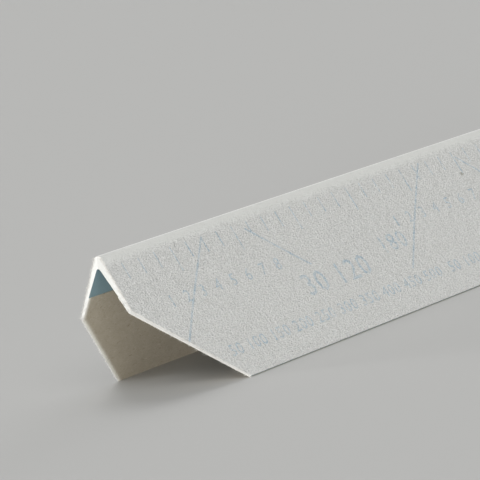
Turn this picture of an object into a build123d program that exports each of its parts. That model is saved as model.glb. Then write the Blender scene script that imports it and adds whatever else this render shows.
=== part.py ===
# Paper-faced composite corner bead, lying nose up on the edges of its two legs.
# X runs along the bead, Y across it and Z up through the nose, in millimetres.
# Four layers bonded into one strip: a face paper folded over the nose, a plastic
# core angle that is thick at the nose and thin along the legs, and a backing
# paper on the inside of each leg that starts a little below the nose.

from build123d import *
from math import cos, radians, sin, tan
import os

os.makedirs("parts", exist_ok=True)

# Stock
bead_length = 2438.0
leg_width = 45.5
included_angle = 66.0

# Layers: the core thins out towards the leg's edge
face_paper_thickness = 0.21
backing_paper_thickness = 0.21
leg_core_thickness = 0.48
edge_core_thickness = 0.22

# Nose: a blunt crown, and a taper from it down to the flat of the leg
nose_half_width = 1.1
nose_crown = 0.35
nose_corner_radius = 0.5
nose_depth = 2.65
inner_corner_radius = 0.8
taper_end = 20.0
taper_blend_radius = 110.0

# Backing paper: how far below the nose it starts
backing_start = 12.1

# Ends: cut square from the nose to the clip, then clipped back to the leg's edge.
# The shear went in from the inside, so every cut leans back towards the outside.
front_clip_start = 17.3
front_clip_length = 24.4
back_clip_start = 18.9
back_clip_length = 23.6
cut_lean = 15.0

# Room past the leg's edge that the sections are drawn with before they are trimmed
overrun = 6.0

half_angle = radians(included_angle / 2)
inner_face_offset = -nose_depth * sin(half_angle)
nose_height = (
    leg_width * cos(half_angle)
    + (backing_paper_thickness - inner_face_offset) * sin(half_angle)
)

# Plane of the back leg: x along the bead, y down the leg from the nose, z outward
back_leg = Plane(
    origin=(0, 0, nose_height),
    x_dir=(1, 0, 0),
    z_dir=(0, cos(half_angle), sin(half_angle)),
)


def leg_point(distance, height):
    """Section point: distance down the leg, height above the core's inner face."""
    level = inner_face_offset + height
    across = distance * sin(half_angle) + level * cos(half_angle)
    up = nose_height - distance * cos(half_angle) + level * sin(half_angle)
    return (across, up)


def mirrored(point):
    return (-point[0], point[1])


# Section of everything inside the outer surface, filled down to below the legs
outer_slope = (leg_core_thickness - edge_core_thickness) / (leg_width - taper_end)
taper_foot = leg_point(taper_end, leg_core_thickness + face_paper_thickness)
leg_foot = leg_point(
    leg_width + overrun,
    edge_core_thickness + face_paper_thickness - outer_slope * overrun,
)
nose_corner = (nose_half_width, nose_height - nose_crown)

with BuildSketch() as outside_form:
    with BuildLine():
        ThreePointArc(mirrored(nose_corner), (0, nose_height), nose_corner)
        Polyline(nose_corner, taper_foot, leg_foot, mirrored(leg_foot))
        Polyline(mirrored(leg_foot), mirrored(taper_foot), mirrored(nose_corner))
    make_face()
    corners = outside_form.vertices().group_by(Axis.Y)
    fillet(corners[-1], nose_corner_radius)
    fillet(corners[-2], taper_blend_radius)

# The same section without the face paper
with BuildSketch() as core_form:
    add(outside_form.sketch)
    offset(amount=-face_paper_thickness)

# The hollow under the core, with a small radius in its corner
hollow_top = (0, nose_height - nose_depth)
hollow_foot = leg_point(leg_width + overrun, 0)

with BuildSketch() as hollow_form:
    with BuildLine():
        Polyline(hollow_top, hollow_foot, mirrored(hollow_foot), close=True)
    make_face()
    fillet(hollow_form.vertices().sort_by(Axis.Y)[-1], inner_corner_radius)

# The inside of the backing paper, which lies on the core's inner faces
backing_top = leg_point(backing_start, 0)
backing_inner_top = leg_point(backing_start, -backing_paper_thickness)
backing_foot = leg_point(leg_width + overrun, -backing_paper_thickness)

with BuildSketch() as backing_form:
    with BuildLine():
        Polyline(backing_top, hollow_foot, backing_foot, backing_inner_top, close=True)
    make_face()


def leg_envelope(clip_start, clip_length):
    """What the shear leaves of the back leg: its outline laid flat, cut with a lean.

    The outline holds at the backing paper's inside. The solid starts a little deeper,
    to take in the corner of the hollow, so its outline there is that much larger.
    """
    start_level = inner_face_offset - inner_corner_radius
    growth = (inner_corner_radius - backing_paper_thickness) * tan(radians(cut_lean))
    with BuildPart() as envelope:
        with BuildSketch(back_leg.offset(start_level)):
            with BuildLine():
                Polyline(
                    (bead_length / 2, -leg_width),
                    (bead_length / 2, clip_start),
                    (bead_length / 2 - clip_length, leg_width),
                    (0, leg_width),
                    (0, -leg_width),
                    close=True,
                )
            make_face()
            mirror(about=Plane.YZ)
            offset(amount=growth, kind=Kind.INTERSECTION)
        extrude(amount=2 * nose_depth, taper=cut_lean)
        split(bisect_by=Plane.XZ, keep=Keep.BOTTOM)
    return envelope.part


# The whole strip's envelope: the back leg's and the front leg's, joined at the nose
with BuildPart() as strip_envelope:
    add(leg_envelope(back_clip_start, back_clip_length))
    mirror(leg_envelope(front_clip_start, front_clip_length), about=Plane.XZ)


# Face paper: one sheet over both legs and the nose
with BuildPart() as face_paper:
    with BuildSketch(Plane.YZ):
        add(outside_form.sketch)
        add(core_form.sketch, mode=Mode.SUBTRACT)
        add(hollow_form.sketch, mode=Mode.SUBTRACT)
    extrude(amount=bead_length / 2, both=True)
    add(strip_envelope.part, mode=Mode.INTERSECT)

# Plastic core: the angle under the face paper
with BuildPart() as plastic_core:
    with BuildSketch(Plane.YZ):
        add(core_form.sketch)
        add(hollow_form.sketch, mode=Mode.SUBTRACT)
    extrude(amount=bead_length / 2, both=True)
    add(strip_envelope.part, mode=Mode.INTERSECT)

# Backing paper on the inside of the back leg
with BuildPart() as backing_paper_back:
    with BuildSketch(Plane.YZ):
        add(backing_form.sketch)
    extrude(amount=bead_length / 2, both=True)
    add(strip_envelope.part, mode=Mode.INTERSECT)

# Backing paper on the inside of the front leg
with BuildPart() as backing_paper_front:
    with BuildSketch(Plane.YZ):
        mirror(backing_form.sketch, about=Plane.YZ)
    extrude(amount=bead_length / 2, both=True)
    add(strip_envelope.part, mode=Mode.INTERSECT)

face_paper.part.label = "face_paper"
plastic_core.part.label = "plastic_core"
backing_paper_front.part.label = "backing_paper_front"
backing_paper_back.part.label = "backing_paper_back"

export_step(face_paper.part, "parts/face_paper.step")
export_step(plastic_core.part, "parts/plastic_core.step")
export_step(backing_paper_front.part, "parts/backing_paper_front.step")
export_step(backing_paper_back.part, "parts/backing_paper_back.step")
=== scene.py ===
from math import cos, pi, radians, sin, tan

import bpy
from mathutils import Matrix, Vector


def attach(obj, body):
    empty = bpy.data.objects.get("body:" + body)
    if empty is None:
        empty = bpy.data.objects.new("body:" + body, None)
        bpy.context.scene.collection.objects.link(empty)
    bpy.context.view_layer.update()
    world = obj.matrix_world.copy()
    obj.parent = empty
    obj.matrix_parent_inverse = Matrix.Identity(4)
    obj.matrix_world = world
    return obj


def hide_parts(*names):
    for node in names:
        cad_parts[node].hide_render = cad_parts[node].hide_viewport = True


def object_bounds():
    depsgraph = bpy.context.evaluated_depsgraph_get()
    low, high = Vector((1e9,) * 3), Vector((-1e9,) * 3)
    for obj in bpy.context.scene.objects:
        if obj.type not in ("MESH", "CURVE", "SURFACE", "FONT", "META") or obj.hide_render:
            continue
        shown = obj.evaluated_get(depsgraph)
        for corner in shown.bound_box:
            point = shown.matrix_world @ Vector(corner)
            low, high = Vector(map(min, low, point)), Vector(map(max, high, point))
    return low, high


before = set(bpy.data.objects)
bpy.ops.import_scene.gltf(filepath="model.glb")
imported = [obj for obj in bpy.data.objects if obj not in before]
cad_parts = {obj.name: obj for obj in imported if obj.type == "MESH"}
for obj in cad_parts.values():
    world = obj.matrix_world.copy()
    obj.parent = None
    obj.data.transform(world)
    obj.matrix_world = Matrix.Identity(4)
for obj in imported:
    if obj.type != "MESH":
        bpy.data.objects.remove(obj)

cadLow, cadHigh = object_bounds()
print("frame loaded:", sorted(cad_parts))

mm = 0.001


# Node trees: a Wire is one socket that can be reckoned with, a Board is one tree

nodesInRow = 12
nodeSpacing = (220, -260)


class Wire:
    def __init__(self, board, socket):
        self.board = board
        self.socket = socket

    def math(self, operation, *terms):
        return self.board.node("ShaderNodeMath", {"operation": operation}, dict(enumerate(terms)))

    def __add__(self, other):
        return self.math("ADD", self, other)

    def __radd__(self, other):
        return self.math("ADD", other, self)

    def __sub__(self, other):
        return self.math("SUBTRACT", self, other)

    def __rsub__(self, other):
        return self.math("SUBTRACT", other, self)

    def __mul__(self, other):
        return self.math("MULTIPLY", self, other)

    def __rmul__(self, other):
        return self.math("MULTIPLY", other, self)

    def __truediv__(self, other):
        return self.math("DIVIDE", self, other)

    def __rtruediv__(self, other):
        return self.math("DIVIDE", other, self)

    def __pow__(self, other):
        return self.math("POWER", self, other)

    def __abs__(self):
        return self.math("ABSOLUTE", self)

    def __gt__(self, other):
        return self.math("GREATER_THAN", self, other)

    def __lt__(self, other):
        return self.math("LESS_THAN", self, other)


class Board:
    def __init__(self, tree):
        self.tree = tree

    def node(self, kind, settings=None, sockets=None, out=None):
        made = self.tree.nodes.new(kind)
        row, column = divmod(len(self.tree.nodes), nodesInRow)
        made.location = (nodeSpacing[0] * column, nodeSpacing[1] * row)
        for key, value in (settings or {}).items():
            setattr(made, key, value)
        for key, value in (sockets or {}).items():
            self.feed(findSocket(made.inputs, key), value)
        if isinstance(out, tuple):
            return tuple(Wire(self, findSocket(made.outputs, key)) for key in out)
        if not len(made.outputs):
            return made
        return Wire(self, findSocket(made.outputs, out))

    def feed(self, socket, value):
        if isinstance(value, Wire):
            self.tree.links.new(value.socket, socket)
        elif isinstance(value, list):
            for item in value:  # a socket that takes several links
                self.tree.links.new(item.socket, socket)
        else:
            socket.default_value = value

    def vector(self, x, y, z):
        return self.node("ShaderNodeCombineXYZ", None, {"X": x, "Y": y, "Z": z})

    def split(self, vector):
        return self.node("ShaderNodeSeparateXYZ", None, {0: vector}, out=("X", "Y", "Z"))

    def scaled(self, vector, factor):
        return self.node("ShaderNodeVectorMath", {"operation": "SCALE"}, {0: vector, "Scale": factor})

    def blend(self, amount, first, second):
        return self.node("ShaderNodeMix", {"data_type": "RGBA"}, {
            "Factor": amount, "A": first, "B": second,
        })

    def attribute(self, name):
        return self.node("ShaderNodeAttribute", {"attribute_name": name}, out="Fac")


def findSocket(sockets, key):
    if isinstance(key, int):
        return sockets[key]
    for socket in sockets:
        if socket.enabled and (key is None or socket.name == key):
            return socket
    raise KeyError(key)


# These take a Wire first, or plain numbers only

def lesser(a, b):
    return a.math("MINIMUM", a, b) if isinstance(a, Wire) else min(a, b)


def larger(a, b):
    return a.math("MAXIMUM", a, b) if isinstance(a, Wire) else max(a, b)


def softLesser(a, b, blend):
    return (a + b - ((a - b) ** 2 + blend * blend) ** 0.5) * 0.5


def softLarger(a, b, blend):
    return (a + b + ((a - b) ** 2 + blend * blend) ** 0.5) * 0.5


# The strip's own measures, in millimetres. A place on it is told by how far down the
# leg it lies from the nose, and by its level over a plane through the nose.

strip = {
    "length": 2438.0,
    "leg width": 45.5,
    "half angle": radians(33.0),
    "paper": 0.21,
    "nose width": 1.1,  # half of the blunt crown
    "nose crown": 0.35,
    "nose depth": 2.65,
    "crown blend": 0.014,
    "hollow radius": 0.8,
    "taper foot": 20.0,
    "taper foot level": 0.69,  # over the core's inside, as is the edge's
    "taper blend": 0.125,
    "edge level": 0.43,
    "backing start": 12.1,
    "front clip start": 17.3,
    "front clip length": 24.4,
    "back clip start": 18.9,
    "back clip length": 23.6,
    "cut lean": radians(15.0),
}

sinHalf = sin(strip["half angle"])
cosHalf = cos(strip["half angle"])
coreInside = -strip["nose depth"] * sinHalf
backingInside = coreInside - strip["paper"]
noseHeight = strip["leg width"] * cosHalf - backingInside * sinHalf
leanSlope = tan(strip["cut lean"])

crownRadius = (strip["nose width"] ** 2 + strip["nose crown"] ** 2) / (2 * strip["nose crown"])
crownAlong = crownRadius * cosHalf
crownLevel = -crownRadius * sinHalf
cornerAlong = strip["nose width"] * sinHalf + strip["nose crown"] * cosHalf
cornerLevel = strip["nose width"] * cosHalf - strip["nose crown"] * sinHalf
footLevel = coreInside + strip["taper foot level"]
taperFall = (cornerLevel - footLevel) / (strip["taper foot"] - cornerAlong)
legFall = (strip["taper foot level"] - strip["edge level"]) / (strip["leg width"] - strip["taper foot"])

hollowUp = strip["nose depth"] + strip["hollow radius"] * (1 / sinHalf - 1)
hollowAlong = (strip["nose depth"] + strip["hollow radius"] / sinHalf) * cosHalf
hollowLevel = coreInside - strip["hollow radius"]
hollowStart = hollowUp * cosHalf
hollowReach = 6.0  # the core's inner rows are shifted up to here, to fit its corner


def outerLevel(along, depth):
    # the face paper's outside, or a surface that lies depth below it
    toCrown = lesser(along - crownAlong, 0.0)
    crown = crownLevel + (larger((crownRadius - depth) ** 2 - toCrown ** 2, 0.0)) ** 0.5
    taper = cornerLevel - depth - (along - cornerAlong) * taperFall
    leg = footLevel - depth - (along - strip["taper foot"]) * legFall
    return softLesser(crown, softLarger(taper, leg, strip["taper blend"]), strip["crown blend"])


def hollowPlace(along, start):
    # the core's inside: flat along the leg, rounded in the corner of the hollow
    slack = (hollowReach - hollowStart) / (hollowReach - start)
    shifted = larger(along, hollowStart + (along - start) * slack)
    toCorner = lesser(shifted - hollowAlong, 0.0)
    return shifted, hollowLevel + (strip["hollow radius"] ** 2 - toCorner ** 2) ** 0.5


def cutLean(level):
    # how far the leaned cut has run back where it reaches a level
    return (level - backingInside) * leanSlope


def clipOf(sizes, isBack):
    # where the clip starts down the leg, and how far back it runs
    clipStart = sizes["front clip start"]
    clipLength = sizes["front clip length"]
    startChange = sizes["back clip start"] - clipStart
    lengthChange = sizes["back clip length"] - clipLength
    return clipStart + startChange * isBack, clipLength + lengthChange * isBack


def squareEnd(level, size):
    # how far from the strip's middle the square cut lies
    return size["length"] * 0.5 - cutLean(level)


def clippedEnd(along, level, clipStart, clipLength, size):
    # the same for the clip, and the share of that distance that is square to the clip
    drop = size["leg width"] - clipStart
    slant = (clipLength ** 2 + drop ** 2) ** 0.5
    fall = (along - clipStart) * clipLength / drop
    return size["length"] * 0.5 - cutLean(level) * slant / drop - fall, drop / slant


def stripPoint(board, x, side, along, level):
    # where a place on the strip is in the room, in metres
    y = side * (along * sinHalf + level * cosHalf)
    z = noseHeight - along * cosHalf + level * sinHalf
    return board.scaled(board.vector(x, y, z), mm)


# Geometry Nodes helpers

def newTree(name, inputs):
    tree = bpy.data.node_groups.new(name, "GeometryNodeTree")
    kinds = {int: "NodeSocketInt", float: "NodeSocketFloat", str: "NodeSocketString"}
    for key, value in inputs.items():
        kind = kinds.get(type(value), "NodeSocketMaterial")
        tree.interface.new_socket(name=key, in_out="INPUT", socket_type=kind)
    tree.interface.new_socket(name="Geometry", in_out="OUTPUT", socket_type="NodeSocketGeometry")
    board = Board(tree)
    entry = tree.nodes.new("NodeGroupInput")
    return board, {key: Wire(board, entry.outputs[key]) for key in inputs}


def endTree(board, geometry, material, cutMaterial=None, cutFaces=None):
    geometry = board.node("GeometryNodeRealizeInstances", None, {0: geometry})
    geometry = board.node("GeometryNodeSetMaterial", None, {"Geometry": geometry, "Material": material})
    if cutMaterial:
        geometry = board.node("GeometryNodeSetMaterial", None, {
            "Geometry": geometry, "Selection": cutFaces, "Material": cutMaterial,
        })
    board.node("NodeGroupOutput", None, {"Geometry": geometry})


def keepInside(board, geometry):
    # nothing stands proud of the strip's own box
    spot = board.node("GeometryNodeInputPosition")
    spot = board.node("ShaderNodeVectorMath", {"operation": "MAXIMUM"}, {0: spot, 1: cadLow})
    spot = board.node("ShaderNodeVectorMath", {"operation": "MINIMUM"}, {0: spot, 1: cadHigh})
    return board.node("GeometryNodeSetPosition", None, {"Geometry": geometry, "Position": spot})


def settle(name, board, inputs):
    # runs the tree and keeps what it made as a plain mesh
    piece = bpy.data.objects.new(name, bpy.data.meshes.new(name + ".start"))
    bpy.context.scene.collection.objects.link(piece)
    maker = piece.modifiers.new("maker", "NODES")
    maker.node_group = board.tree
    for item in board.tree.interface.items_tree:
        if item.item_type == "SOCKET" and item.in_out == "INPUT":
            maker[item.identifier] = inputs[item.name]
    bpy.context.view_layer.update()
    depsgraph = bpy.context.evaluated_depsgraph_get()
    mesh = bpy.data.meshes.new_from_object(
        piece.evaluated_get(depsgraph), preserve_all_data_layers=True, depsgraph=depsgraph
    )
    piece.modifiers.remove(maker)
    mesh.name = name
    piece.data = mesh
    triangles = sum(len(face.vertices) - 2 for face in mesh.polygons)
    print(f"made {name}: {triangles} triangles")
    return piece


def putInFrame(piece, slotName, *nodes):
    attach(piece, "root")
    if nodes:
        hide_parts(*nodes)


# Shader helpers

def newMaterial(name):
    material = bpy.data.materials.new(name)
    material.use_nodes = True
    material.node_tree.nodes.clear()
    return material, Board(material.node_tree)


def finishMaterial(board, sockets):
    surface = board.node("ShaderNodeBsdfPrincipled", None, sockets)
    board.node("ShaderNodeOutputMaterial", None, {"Surface": surface})


def noise(board, vector, scale, detail=2.0, roughness=0.5, distortion=0.0):
    return board.node("ShaderNodeTexNoise", None, {
        "Vector": vector, "Scale": scale, "Detail": detail, "Roughness": roughness,
        "Distortion": distortion,
    })


def fade(board, value, full, none):
    # one up to the first value, nothing past the second
    return board.node("ShaderNodeMapRange", {"interpolation_type": "SMOOTHSTEP"}, {
        "Value": value, "From Min": full, "From Max": none, "To Min": 1.0, "To Max": 0.0,
    })


def bump(board, height):
    # height is in millimetres
    return board.node("ShaderNodeBump", None, {"Distance": mm, "Height": height})


def tint(red, green, blue):
    # a colour as a screen shows it, made linear
    def linear(value):
        value /= 255.0
        return value / 12.92 if value < 0.04045 else ((value + 0.055) / 1.055) ** 2.4
    return (linear(red), linear(green), linear(blue), 1.0)


def legCoordinates(board):
    # along the strip, down the leg from the nose, which leg, and the legs laid flat
    spot = board.node("ShaderNodeTexCoord", out="Object")
    x, y, z = board.split(board.scaled(spot, 1 / mm))
    down = abs(y) * sinHalf + (noseHeight - z) * cosHalf
    side = y.math("SIGN", y)
    return x, down, side, board.vector(x, down * side, 0.0)


def stretched(board, spot, amounts):
    # the last amount only sets the two legs' patterns apart
    return board.vector(*(part * amount for part, amount in zip(spot, amounts)))


# Papers

paperLook = {
    "colour": tint(246, 246, 243),
    # the low end of the grain's colour: painted shade in its pits
    "dull colour": tint(213, 214, 211),
    "nose colour": tint(207, 208, 204),
    "crown wear and highlight colour": tint(250, 250, 247),
    "cut colour": tint(238, 237, 232),
    "ink": tint(148, 184, 206),
    "ink strength": 0.6,
    "faintest ink": 0.15,
    "fullest ink": 1.2,
    "grain": (1.0, 3.0, 0.65),  # a noise's scale, detail and roughness
    "grain stretch": (1.6, 2.3, 5.0),  # along the strip and down the leg
    "fine grain": (5.5, 1.0),
    "patches": (0.45, 2.0, 0.6),
    "waves": (0.11, 2.0, 0.55),
    "grain height": 1.05,
    "fine height": 0.04,
    "wave height": 0.12,
    "grain shade contrast": 3.4,
    "fine contrast": 1.2,
    "patch contrast": 0.35,
    "nose band": 3.2,
    "nose band blur": 1.4,
    "nose smoothness": 0.75,
    "nose dullness": 0.8,
    "crown wear and highlight reach": 0.4,
    "crushed edge": 0.2,
    "speck": tint(118, 115, 94),
    "speck strength": 0.5,
    "speck along": 151.8,  # from the near end, and down the front leg
    "speck down": 11.6,
    "speck half length": 0.95,
    "speck half width": 0.55,
    "roughness": 0.86,
}


def inkCover(board, grain, fine, patches):
    # the ink misses the tops of the grain, and whole patches print faintly
    missed = 1.0 - fade(board, grain + (fine - 0.5) * 0.35, 0.36, 0.60)
    press = larger((patches - 0.5) * 3.0 + 0.8, paperLook["faintest ink"])
    press = lesser(press, paperLook["fullest ink"])
    return (1.0 - missed * 0.5) * press * paperLook["ink strength"]


def speckCover(board, x, down, side, fine):
    # one speck of dirt near the scale
    fromEnd = x + strip["length"] / 2
    offAlong = (fromEnd - paperLook["speck along"]) / paperLook["speck half length"]
    offDown = (down * side + paperLook["speck down"]) / paperLook["speck half width"]
    off = offAlong * offAlong + offDown * offDown + (fine - 0.5) * 0.6
    return fade(board, off, 0.35, 1.3) * paperLook["speck strength"]


def paperSurface(name, inked):
    material, board = newMaterial(name)
    x, down, side, flat = legCoordinates(board)
    pulled = stretched(board, (x, down, side), paperLook["grain stretch"])
    grain = noise(board, pulled, *paperLook["grain"])
    fine = noise(board, flat, *paperLook["fine grain"])
    waves = noise(board, flat, *paperLook["waves"])
    patches = noise(board, flat, *paperLook["patches"])

    # the nose is smoother and a little duller than the legs
    band, blur = paperLook["nose band"], paperLook["nose band blur"]
    nearNose = fade(board, down + (patches - 0.5) * blur, band - blur, band + blur)
    rough = (1.0 - nearNose * paperLook["nose smoothness"]) * (0.5 + patches)
    height = grain * rough * paperLook["grain height"]
    height = height + fine * rough * paperLook["fine height"] + waves * paperLook["wave height"]
    # the grain's pits are painted darker than its tops as painted shade; the fine grain and patches add
    # the paper's own random tone
    pitShadeAndTone = (grain - 0.5) * rough * paperLook["grain shade contrast"] + 0.5
    pitShadeAndTone = pitShadeAndTone + (fine - 0.5) * rough * paperLook["fine contrast"]
    pitShadeAndTone = pitShadeAndTone + (patches - 0.5) * paperLook["patch contrast"]
    colour = board.blend(pitShadeAndTone, paperLook["dull colour"], paperLook["colour"])
    dulled = nearNose * paperLook["nose dullness"]
    colour = board.blend(dulled, colour, paperLook["nose colour"])
    if inked:
        cover = inkCover(board, grain, fine, patches)
        colour = board.blend(cover, colour, paperLook["ink"])
    else:
        # the crown's ridge is painted whiter: partly a worn line, partly a painted highlight where the
        # ridge catches the light
        crownWearAndHighlight = fade(board, down, 0.1, paperLook["crown wear and highlight reach"])
        colour = board.blend(crownWearAndHighlight, colour, paperLook["crown wear and highlight colour"])
        reach = paperLook["crushed edge"]
        crushed = board.attribute("fromCut") + (fine - 0.5) * reach
        crushed = fade(board, crushed, reach * 0.1, reach)
        colour = board.blend(crushed, colour, paperLook["cut colour"])
        height = height + crushed * fine * 0.05
        speck = speckCover(board, x, down, side, fine)
        colour = board.blend(speck, colour, paperLook["speck"])
    finishMaterial(board, {
        "Base Color": colour, "Roughness": paperLook["roughness"],
        "Normal": bump(board, height), "Specular IOR Level": 0.3,
    })
    return material


cutPaperLook = {
    "colour": tint(242, 240, 235),
    "dull colour": tint(222, 220, 214),
    "fibres": (6.0, 3.0, 0.7),
    "fibre height": 0.06,
    "roughness": 0.95,
}


def cutPaperSurface():
    material, board = newMaterial("cutPaper")
    spot = board.scaled(board.node("ShaderNodeTexCoord", out="Object"), 1 / mm)
    fibres = noise(board, spot, *cutPaperLook["fibres"])
    finishMaterial(board, {
        "Base Color": board.blend(fibres, cutPaperLook["dull colour"], cutPaperLook["colour"]),
        "Roughness": cutPaperLook["roughness"],
        "Normal": bump(board, fibres * cutPaperLook["fibre height"]),
        "Specular IOR Level": 0.2,
    })
    return material


backingLook = {
    "colour": tint(169, 159, 141),
    "pale colour": tint(185, 177, 160),
    "fleck colour": tint(132, 120, 102),
    "scuff and highlight colour": tint(250, 247, 238),
    "dark fibre": tint(126, 112, 94),
    "pale fibre": tint(216, 208, 192),
    "clouds": (0.35, 3.0, 0.6),
    "felt": (2.4, 3.0, 0.65, 0.6),
    "felt stretch": (0.6, 1.0, 7.0),
    "strands": (3.0, 2.0, 0.6, 1.5),
    "strand stretch": (0.35, 1.6, 5.0),
    "contrast": 2.3,
    "fleck strength": 0.65,
    "pale strength": 0.5,
    "felt height": 0.04,
    "cloud height": 0.05,
    "scuff and highlight reach": 1.7,
    "roughness": 0.9,
}


def backingSurface():
    material, board = newMaterial("backingPaper")
    x, down, side, flat = legCoordinates(board)
    clouds = noise(board, flat, *backingLook["clouds"])
    pulled = stretched(board, (x, down, side), backingLook["felt stretch"])
    felt = noise(board, pulled, *backingLook["felt"])
    pulled = stretched(board, (x, down, side), backingLook["strand stretch"])
    strands = noise(board, pulled, *backingLook["strands"])
    mottle = (clouds * 0.5 + felt * 0.5 - 0.5) * backingLook["contrast"] + 0.5
    colour = board.blend(mottle, backingLook["colour"], backingLook["pale colour"])
    flecks = (1.0 - fade(board, strands, 0.6, 0.68)) * backingLook["fleck strength"]
    colour = board.blend(flecks, colour, backingLook["fleck colour"])
    pale = fade(board, strands, 0.3, 0.38) * backingLook["pale strength"]
    colour = board.blend(pale, colour, backingLook["pale fibre"])
    # a whiter band along the cuts: partly scuffed paper, partly a painted highlight where the cut edge
    # catches the light
    fromCut = board.attribute("fromCut") + (felt - 0.5) * 0.9
    scuffAndHighlight = fade(board, fromCut, 0.05, backingLook["scuff and highlight reach"])
    colour = board.blend(scuffAndHighlight * scuffAndHighlight, colour, backingLook["scuff and highlight colour"])
    height = felt * backingLook["felt height"] + clouds * backingLook["cloud height"]
    finishMaterial(board, {
        "Base Color": colour, "Roughness": backingLook["roughness"],
        "Normal": bump(board, height), "Specular IOR Level": 0.25,
    })
    return material


def fibreSurface():
    # a fibre is either pale or dark, by where it lies
    material, board = newMaterial("backingFibre")
    flat = legCoordinates(board)[3]
    choice = noise(board, flat, 0.9, 0.0)
    isPale = board.node("ShaderNodeMapRange", None, {
        "Value": choice, "From Min": 0.48, "From Max": 0.52,
    })
    finishMaterial(board, {
        "Base Color": board.blend(isPale, backingLook["dark fibre"], backingLook["pale fibre"]),
        "Roughness": backingLook["roughness"], "Specular IOR Level": 0.25,
    })
    return material


# Plastic

plasticLook = {
    "colour": tint(135, 160, 167),
    "deep colour": tint(126, 151, 158),
    "drawn lines": (1.0, 3.0, 0.6),
    "line stretch": (0.03, 3.0, 4.0),
    "haze": (0.2, 2.0),
    "line height": 0.012,
    "roughness": 0.45,
}


def plasticSurface():
    material, board = newMaterial("corePlastic")
    x, down, side, flat = legCoordinates(board)
    pulled = stretched(board, (x, down, side), plasticLook["line stretch"])
    drawn = noise(board, pulled, *plasticLook["drawn lines"])
    haze = noise(board, flat, *plasticLook["haze"])
    mixed = drawn * 0.6 + haze * 0.4
    finishMaterial(board, {
        "Base Color": board.blend(mixed, plasticLook["deep colour"], plasticLook["colour"]),
        "Roughness": plasticLook["roughness"] + (haze - 0.5) * 0.2,
        "Normal": bump(board, drawn * plasticLook["line height"]),
        "Specular IOR Level": 0.45,
    })
    return material


cutPlasticLook = {
    "colour": tint(229, 229, 224),
    "dull colour": tint(203, 203, 199),
    "grit": (3.0, 3.0, 0.65),
    "streaks": (1.0, 2.0, 0.6),
    "streak stretch": (0.12, 2.2, 3.0),  # down the leg and through the core
    "torn height": 0.05,
    "roughness": 0.6,
}


def cutPlasticSurface():
    # torn grains, and streaks that run down the leg
    material, board = newMaterial("cutPlastic")
    spot = board.scaled(board.node("ShaderNodeTexCoord", out="Object"), 1 / mm)
    grit = noise(board, spot, *cutPlasticLook["grit"])
    down, side = legCoordinates(board)[1:3]
    y, z = board.split(spot)[1:]
    level = abs(y) * cosHalf - (noseHeight - z) * sinHalf
    pulled = stretched(board, (down, level, side), cutPlasticLook["streak stretch"])
    streaks = noise(board, pulled, *cutPlasticLook["streaks"])
    torn = grit * 0.5 + (streaks - 0.5) * 1.4 + 0.25
    finishMaterial(board, {
        "Base Color": board.blend(torn, cutPlasticLook["dull colour"], cutPlasticLook["colour"]),
        "Roughness": cutPlasticLook["roughness"],
        "Normal": bump(board, torn * cutPlasticLook["torn height"]),
        "Specular IOR Level": 0.4,
    })
    return material


facePaper = paperSurface("facePaper", False)
printedInk = paperSurface("printedInk", True)
cutPaper = cutPaperSurface()
backingPaper = backingSurface()
backingFibre = fibreSurface()
corePlastic = plasticSurface()
cutPlastic = cutPlasticSurface()
print("materials made")


# The four layers: a box of vertices is bent into each of them. Its x runs along the
# strip, its y across it and its z through the layer.

layerSizes = {
    "length": strip["length"],
    "leg width": strip["leg width"],
    "front clip start": strip["front clip start"],
    "front clip length": strip["front clip length"],
    "back clip start": strip["back clip start"],
    "back clip length": strip["back clip length"],
    "rings": 420,
    "rows to clip": 30,
    "rows past clip": 12,
    "ring gather": 2.0,  # how much closer the rings stand at the ends,
    "row gather": 2.2,  # and the rows at the nose
    "crush depth": 0.09,
    "crush reach": 0.45,
}


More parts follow.
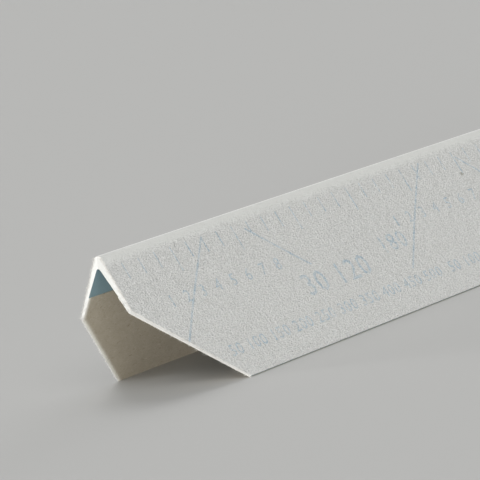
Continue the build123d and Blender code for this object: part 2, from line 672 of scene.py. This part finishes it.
def layerTree(name, inputs, layer):
    board, size = newTree(name, inputs)
    rows = size["rows to clip"] + size["rows past clip"]
    bothLegs = layer in ("face", "core")
    span = rows * 2.0 if bothLegs else rows
    box = board.node("GeometryNodeMeshCube", None, {
        "Size": board.vector(2.0, span, 1.0), "Vertices X": size["rings"],
        "Vertices Y": span + 1.0, "Vertices Z": 2,
    })
    facing = board.node("GeometryNodeInputNormal", out="Normal")
    facingX, facingY, facingZ = board.split(facing)
    onFaces = {"data_type": "BOOLEAN", "domain": "FACE"}
    for key, value in (("cutFace", abs(facingZ) < 0.5), ("endFace", abs(facingX) > 0.5)):
        box = board.node("GeometryNodeStoreNamedAttribute", onFaces, {
            "Geometry": box, "Name": key, "Value": value,
        })
    u, v, through = board.split(board.node("GeometryNodeInputPosition"))
    outside = through > 0.0
    if bothLegs:
        side = v.math("SIGN", v)
        row = abs(v)
        clipStart, clipLength = clipOf(size, v > 0.0)
    else:
        side = 1.0 if layer == "back backing" else -1.0
        row = v * side + span * 0.5
        key = "back" if layer == "back backing" else "front"
        clipStart, clipLength = size[key + " clip start"], size[key + " clip length"]
    # shares of the way from the nose to the clip's corner, and from there to the edge
    near = lesser(row, size["rows to clip"]) / size["rows to clip"]
    far = larger(row - size["rows to clip"], 0.0) / size["rows past clip"]

    def down(start, gather, levelAtClip, levelAtEdge):
        # how far down the leg each row lies: one row keeps to the clip's corner
        drop = size["leg width"] - clipStart
        slant = (clipLength ** 2 + drop ** 2) ** 0.5
        kink = clipStart - cutLean(levelAtClip) * (slant - drop) / clipLength
        edge = size["leg width"] - cutLean(levelAtEdge)
        return start + (kink - start) * near ** gather + (edge - kink) * far

    def sheet(depth):
        levelAtClip = outerLevel(clipStart, depth)
        levelAtEdge = outerLevel(strip["leg width"], depth)
        along = down(depth * cosHalf, size["row gather"], levelAtClip, levelAtEdge)
        return along, outerLevel(along, depth)

    if layer == "face":
        outer, inner = sheet(0.0), sheet(strip["paper"])
    elif layer == "core":
        outer = sheet(strip["paper"])
        pairedRow = down(strip["paper"] * cosHalf, size["row gather"], coreInside, coreInside)
        inner = hollowPlace(pairedRow, strip["paper"] * cosHalf)
    else:
        outer = down(strip["backing start"], 1.0, coreInside, coreInside), coreInside
        inner = down(strip["backing start"], 1.0, backingInside, backingInside), backingInside
    along = inner[0] + (outer[0] - inner[0]) * outside
    level = inner[1] + (outer[1] - inner[1]) * outside

    # the rings run up to whichever cut comes first
    square = squareEnd(level, size)
    clipped, steepness = clippedEnd(along, level, clipStart, clipLength, size)
    share = 1.0 - (1.0 - abs(u)) ** size["ring gather"]
    x = lesser(square, clipped) * share
    fromCut = lesser(square - x, (clipped - x) * steepness)
    if layer == "face":
        # the cut crushes the paper's edge a little
        give = larger(1.0 - fromCut / size["crush reach"], 0.0)
        level = level - give * give * outside * size["crush depth"]
    box = board.node("GeometryNodeStoreNamedAttribute", {"data_type": "FLOAT", "domain": "POINT"}, {
        "Geometry": box, "Name": "fromCut", "Value": fromCut,
    })
    # each point takes its place, and the cuts keep their sharp edges
    spot = stripPoint(board, x * u.math("SIGN", u), side, along, level)
    box = board.node("GeometryNodeSetPosition", None, {"Geometry": box, "Position": spot})
    box = keepInside(board, box)
    isCut = board.node("GeometryNodeInputNamedAttribute", {"data_type": "BOOLEAN"}, {"Name": "cutFace"})
    box = board.node("GeometryNodeSetShadeSmooth", {"domain": "EDGE"}, {
        "Geometry": box, "Selection": isCut, "Shade Smooth": False,
    })
    isEnd = board.node("GeometryNodeInputNamedAttribute", {"data_type": "BOOLEAN"}, {"Name": "endFace"})
    endTree(board, box, size["material"], size["cut material"], isEnd)
    return board


def makeLayer(name, layer, material, cutMaterial, slotName, node, **changes):
    inputs = dict(layerSizes, **changes)
    inputs["material"] = material
    inputs["cut material"] = cutMaterial
    piece = settle(name, layerTree(name + "Tree", inputs, layer), inputs)
    putInFrame(piece, slotName, node)


makeLayer("facePaperSheet", "face", facePaper, cutPaper, "face_paper", "face_paper")
makeLayer(
    "plasticCoreAngle", "core", corePlastic, cutPlastic, "plastic_core", "plastic_core", rings=320
)
for key in ("front", "back"):
    makeLayer(
        "backingPaper" + key.capitalize(), key + " backing", backingPaper, cutPaper,
        "backing_paper", "backing_paper_" + key, **{"rings": 300, "rows to clip": 6},
    )
print("layers made")


# Printed marks on the face paper. They are laid out flat, x along the strip and y
# up over the nose, and then wrapped onto the paper.

markSizes = {
    "length": strip["length"],
    "first tick": 6.3,
    "tick step": 6.35,
    "ticks": 381,
    "tick top": 4.2,
    "tick length": 4.8,
    "long tick length": 7.4,
    "ticks to a long one": 4,
    "tick width": 0.42,
    "repeat": 98.0,
    "repeats": 25,
    "falling line start": 38.4,
    "rising line start": 55.2,
    "falling line top": 4.3,
    "rising line top": 6.0,
    "falling line length": 29.2,
    "rising line length": 16.0,
    "line width": 0.6,
    "line rows": 24,
    "gap at clip": 0.3,
    "mark height": 0.02,
}
lineLean = radians(45.0)


def wrapMarks(board, geometry, length):
    # flat marks take their place on the paper: x from the near end, y over the nose
    x, y, lift = board.split(board.node("GeometryNodeInputPosition"))
    along = abs(y)
    level = outerLevel(along, 0.0) + lift
    spot = stripPoint(board, x - length * 0.5, y.math("SIGN", y), along, level)
    return board.node("GeometryNodeSetPosition", None, {"Geometry": geometry, "Position": spot})


def rowOfPoints(board, count, first, step, y):
    index = board.node("GeometryNodeInputIndex")
    return board.node("GeometryNodePoints", None, {
        "Count": count, "Position": board.vector(first + index * step, y, 0.0),
    }), index


def bar(board, wide, tall, height, rows):
    # a flat bar that hangs from its upper edge, a third of it sunk in the paper
    box = board.node("GeometryNodeMeshCube", None, {
        "Size": board.vector(wide, tall, height * 1.5), "Vertices Y": rows,
    })
    return board.node("GeometryNodeTransform", None, {
        "Geometry": box, "Translation": board.vector(0.0, tall * -0.5, height * 0.25),
    })


def markTree(name, inputs):
    board, size = newTree(name, inputs)
    groups = []
    for leg in (-1.0, 1.0):
        points, index = rowOfPoints(
            board, size["ticks"], size["first tick"], size["tick step"], size["tick top"] * leg
        )
        group = size["ticks to a long one"]
        isLong = index.math("MODULO", index, group) > group - 1.5
        stretch = size["tick length"] + (size["long tick length"] - size["tick length"]) * isLong
        tick = bar(board, size["tick width"], 1.0, size["mark height"], 2)
        groups.append(board.node("GeometryNodeInstanceOnPoints", None, {
            "Points": points, "Instance": tick, "Scale": board.vector(1.0, stretch * -leg, 1.0),
        }))
    for key, turn in (("falling", -lineLean), ("rising", lineLean)):
        top = size[key + " line top"]
        points, index = rowOfPoints(
            board, size["repeats"], size[key + " line start"], size["repeat"], top * -1.0
        )
        length = size[key + " line length"] / cos(lineLean)
        line = bar(board, size["line width"], length, size["mark height"], size["line rows"])
        kept = 1.0
        if key == "falling":
            # the first falling line stops where it meets the clip
            steep = strip["front clip length"] / (strip["leg width"] - strip["front clip start"])
            toCut = size["falling line start"] + (strip["front clip start"] - top) * steep
            toCut = toCut / (1.0 + steep) - size["gap at clip"]
            kept = lesser(toCut / size["falling line length"] + index, 1.0)
        groups.append(board.node("GeometryNodeInstanceOnPoints", None, {
            "Points": points, "Instance": line, "Rotation": board.vector(0.0, 0.0, turn),
            "Scale": board.vector(1.0, kept, 1.0),
        }))
    joined = board.node("GeometryNodeJoinGeometry", None, {"Geometry": groups})
    joined = board.node("GeometryNodeRealizeInstances", None, {0: joined})
    endTree(board, wrapMarks(board, joined, size["length"]), size["material"])
    return board


inputs = dict(markSizes, material=printedInk)
scale = settle("printedScale", markTree("printedScaleTree", inputs), inputs)
putInFrame(scale, "face_paper")


numberSizes = {
    "length": strip["length"],
    "repeat": 98.0,
    "repeats": 25,
    "small figures": "1  2  3  4  5  6  7  8",
    "small start": 14.0,
    "small baseline": 20.3,
    "small size": 5.2,
    "large figures": "30 120",
    "large start": 63.0,
    "large baseline": 30.6,
    "large size": 9.6,
    "raised figures": "180",
    "raised start": 100.0,
    "raised baseline": 26.6,
    "raised size": 7.9,
    "running figures": "50 100 150 200 250 300 350 400 450 500",
    "running start": 23.0,
    "running baseline": 38.8,
    "running size": 5.0,
    "spacing": 1.1,
    "figure height": 0.02,
}


def numberTree(name, inputs):
    board, size = newTree(name, inputs)
    groups = []
    for key in ("small", "large", "raised", "running"):
        # at the far end only the small figures still fit before the clip
        repeats = size["repeats"] - (0 if key == "small" else 1)
        figures = board.node("GeometryNodeStringToCurves", None, {
            "String": size[key + " figures"], "Size": size[key + " size"],
            "Character Spacing": size["spacing"],
        }, out="Curve Instances")
        figures = board.node("GeometryNodeRealizeInstances", None, {0: figures})
        figures = board.node("GeometryNodeSetSplineResolution", None, {
            "Geometry": figures, "Resolution": 2,
        })
        flat = board.node("GeometryNodeFillCurve", {"mode": "TRIANGLES"}, {"Curve": figures})
        lift = board.vector(0.0, 0.0, size["figure height"] * 1.5)
        raised = board.node("GeometryNodeExtrudeMesh", None, {
            "Mesh": flat, "Offset": lift, "Individual": False,
        }, out="Mesh")
        under = board.node("GeometryNodeFlipFaces", None, {"Mesh": flat})
        closed = board.node("GeometryNodeJoinGeometry", None, {"Geometry": [raised, under]})
        closed = board.node("GeometryNodeMergeByDistance", None, {
            "Geometry": closed, "Distance": 0.001,
        })
        closed = board.node("GeometryNodeTransform", None, {
            "Geometry": closed, "Translation": board.vector(0.0, 0.0, size["figure height"] * -0.5),
        })
        points, index = rowOfPoints(
            board, repeats, size[key + " start"], size["repeat"], size[key + " baseline"] * -1.0
        )
        groups.append(board.node("GeometryNodeInstanceOnPoints", None, {
            "Points": points, "Instance": closed,
        }))
    joined = board.node("GeometryNodeJoinGeometry", None, {"Geometry": groups})
    joined = board.node("GeometryNodeRealizeInstances", None, {0: joined})
    endTree(board, wrapMarks(board, joined, size["length"]), size["material"])
    return board


inputs = dict(numberSizes, material=printedInk)
numbers = settle("printedNumbers", numberTree("printedNumbersTree", inputs), inputs)
putInFrame(numbers, "face_paper")
print("print made")


# Loose paper fibres: along the cuts, and lying on the backing paper

fuzzSizes = {
    "length": strip["length"],
    "leg width": strip["leg width"],
    "count": 3600,
    "shortest": 0.25,
    "longest": 0.8,
    "thickness": 0.045,  # as a share of the fibre's length
    "least depth": 0.02,  # under the paper's surface
    "most depth": 0.19,
    "backing share": 0.35,
    "rooted": 0.04,
    "seed": 7,
}


anyTurn = 3.2  # radians to either side
smallTurn = 1.3


def chance(board, low, high, seed):
    return board.node("FunctionNodeRandomValue", {"data_type": "FLOAT"}, {
        "Min": low, "Max": high, "Seed": seed,
    })


fibreCurl = {
    "Start": (0.0, 0.0, 0.0),
    "Start Handle": (0.3, 0.12, 0.0),
    "End Handle": (0.62, 0.22, 0.16),
    "End": (0.9, -0.05, 0.24),
    "Resolution": 4,
}


def fibre(board, thickness):
    # a three-sided curl about one unit long
    curl = board.node("GeometryNodeCurvePrimitiveBezierSegment", None, fibreCurl)
    ring = board.node("GeometryNodeCurvePrimitiveCircle", None, {
        "Resolution": 3, "Radius": thickness,
    }, out="Curve")
    return board.node("GeometryNodeCurveToMesh", None, {
        "Curve": curl, "Profile Curve": ring, "Fill Caps": True,
    })


def fuzzTree(name, inputs):
    # short fibres that stick out of the cut papers, in both legs and at both ends
    board, size = newTree(name, inputs)
    seed = size["seed"]
    side = (chance(board, 0.0, 1.0, seed) > 0.5) * 2.0 - 1.0
    end = (chance(board, 0.0, 1.0, seed + 1.0) > 0.5) * 2.0 - 1.0
    along = chance(board, 0.5, strip["leg width"] - 0.6, seed + 2.0)
    onFace = chance(board, 0.0, 1.0, seed + 3.0) > size["backing share"]
    onFace = larger(onFace, along < strip["backing start"])
    deep = chance(board, size["least depth"], size["most depth"], seed + 4.0)
    level = outerLevel(along, 0.0) * onFace + coreInside * (1.0 - onFace) - deep
    clipStart, clipLength = clipOf(strip, side > 0.0)
    square = squareEnd(level, size)
    clipped, steepness = clippedEnd(along, level, clipStart, clipLength, size)
    x = end * (lesser(square, clipped) - size["rooted"])
    points = board.node("GeometryNodePoints", None, {
        "Count": size["count"], "Position": stripPoint(board, x, side, along, level),
    })
    turn = board.vector(
        chance(board, -anyTurn, anyTurn, seed + 5.0),
        chance(board, -smallTurn, smallTurn, seed + 6.0),
        chance(board, -smallTurn, smallTurn, seed + 7.0) + (end < 0.0) * pi,
    )
    stretch = chance(board, size["shortest"], size["longest"], seed + 8.0) * mm
    fuzz = board.node("GeometryNodeInstanceOnPoints", None, {
        "Points": points, "Instance": fibre(board, size["thickness"]),
        "Rotation": turn, "Scale": board.vector(stretch, stretch, stretch),
    })
    fuzz = board.node("GeometryNodeRealizeInstances", None, {0: fuzz})
    endTree(board, keepInside(board, fuzz), size["material"])
    return board


inputs = dict(fuzzSizes, material=cutPaper)
fuzz = settle("cutFuzz", fuzzTree("cutFuzzTree", inputs), inputs)
putInFrame(fuzz, "face_paper")


feltSizes = {
    "length": strip["length"],
    "leg width": strip["leg width"],
    "count": 2600,
    "shortest": 0.5,
    "longest": 1.9,
    "thickness": 0.045,
    "flatness": 0.25,
    "clear of start": 1.0,  # what the papers' borders keep free of fibres
    "clear of edge": 1.5,
    "clear of end": 2.0,
    "seed": 40,
}


def feltTree(name, inputs):
    # longer fibres that lie on the backing papers
    board, size = newTree(name, inputs)
    seed = size["seed"]
    side = (chance(board, 0.0, 1.0, seed) > 0.5) * 2.0 - 1.0
    highest = strip["backing start"] + size["clear of start"]
    lowest = size["leg width"] - size["clear of edge"]
    along = chance(board, highest, lowest, seed + 1.0)
    # near the clip the reach falls off a little less steeply than the clip itself
    reach = size["length"] * 0.5 - strip["front clip length"] - size["clear of end"]
    reach = reach + (size["leg width"] - along) * 0.8
    x = chance(board, -1.0, 1.0, seed + 2.0) * reach
    spot = stripPoint(board, x, side, along, backingInside - 0.01)
    points = board.node("GeometryNodePoints", None, {"Count": size["count"], "Position": spot})
    lying = board.vector(side * (strip["half angle"] + radians(90.0)), 0.0, 0.0)
    lying = board.node("FunctionNodeEulerToRotation", None, {0: lying})
    spun = board.node("FunctionNodeAxisAngleToRotation", None, {
        "Axis": (0.0, 0.0, 1.0), "Angle": chance(board, -anyTurn, anyTurn, seed + 3.0),
    })
    turn = board.node("FunctionNodeRotateRotation", {"rotation_space": "LOCAL"}, {0: lying, 1: spun})
    stretch = chance(board, size["shortest"], size["longest"], seed + 4.0) * mm
    felt = board.node("GeometryNodeInstanceOnPoints", None, {
        "Points": points, "Instance": fibre(board, size["thickness"]),
        "Rotation": turn, "Scale": board.vector(stretch, stretch, stretch * size["flatness"]),
    })
    felt = board.node("GeometryNodeRealizeInstances", None, {0: felt})
    endTree(board, keepInside(board, felt), size["material"])
    return board


inputs = dict(feltSizes, material=backingFibre)
fibres = settle("backingFibres", feltTree("backingFibresTree", inputs), inputs)
putInFrame(fibres, "backing_paper")
print("fibres made")


# Floor, light and camera

stage = {
    "floor size": 16.0,
    "floor colour": tint(196, 196, 194),
    "sky": 0.31,
    "camera place": (-1.78782, -0.5563, 0.14385),
    "camera turn": 48.35,  # degrees from the room's Y, as the dip is from level
    "camera dip": 7.69,
    "camera roll": -10.43,
    "lens": 231.76,
}

floorMesh = bpy.data.meshes.new("floor")
half = stage["floor size"] / 2
floorCorners = [(-half, -half, 0), (half, -half, 0), (half, half, 0), (-half, half, 0)]
floorMesh.from_pydata(floorCorners, [], [(0, 1, 2, 3)])
floor = bpy.data.objects.new("floor", floorMesh)
bpy.context.scene.collection.objects.link(floor)
floorPaint, board = newMaterial("floorPaint")
finishMaterial(board, {
    "Base Color": stage["floor colour"], "Roughness": 0.9, "Specular IOR Level": 0.1,
})
floorMesh.materials.append(floorPaint)

world = bpy.data.worlds.new("studio")
bpy.context.scene.world = world
world.use_nodes = True
world.node_tree.nodes.clear()
board = Board(world.node_tree)
sky = board.node("ShaderNodeBackground", None, {
    "Color": (1.0, 1.0, 1.0, 1.0), "Strength": stage["sky"],
})
board.node("ShaderNodeOutputWorld", None, {"Surface": sky})


def sunLight(name, direction, level, spread):
    # level is how bright a white surface that faces it turns out
    lamp = bpy.data.lights.new(name, "SUN")
    lamp.energy = level * pi
    lamp.angle = radians(spread)
    sun = bpy.data.objects.new(name, lamp)
    bpy.context.scene.collection.objects.link(sun)
    sun.rotation_euler = Vector(direction).to_track_quat("Z", "Y").to_euler()


# where each lamp shines from, its level and its spread in degrees
lamps = {
    "frontLight": ((-0.45, -0.7, 0.55), 0.26, 30.0),
    "keyLight": ((-0.75, -0.2, 0.63), 0.13, 22.0),
    "lowLight": ((-0.82, -0.56, 0.06), 0.62, 12.0),
    "sideLight": ((-0.45, 0.9, 0.04), 0.8, 12.0),
    "backLight": ((0.2, 0.4, 0.9), 0.25, 35.0),
    "farLowLight": ((0.93, 0.2, 0.16), 0.12, 25.0),
}
for name, (direction, level, spread) in lamps.items():
    sunLight(name, direction, level, spread)

camera = bpy.data.objects.new("camera", bpy.data.cameras.new("camera"))
bpy.context.scene.collection.objects.link(camera)
turn, dip, roll = (radians(stage["camera " + key]) for key in ("turn", "dip", "roll"))
ahead = Vector((sin(turn) * cos(dip), cos(turn) * cos(dip), -sin(dip)))
levelRight = ahead.cross(Vector((0, 0, 1))).normalized()
levelUp = levelRight.cross(ahead)
right = levelRight * cos(roll) + levelUp * sin(roll)
up = levelUp * cos(roll) - levelRight * sin(roll)
turned = Matrix((right, up, -ahead)).transposed().to_4x4()
camera.matrix_world = Matrix.Translation(stage["camera place"]) @ turned
camera.data.lens = stage["lens"]
camera.data.sensor_width = 36.0
camera.data.clip_start = 0.01
bpy.context.scene.camera = camera
bpy.context.scene.view_settings.view_transform = "Standard"
print("stage set")
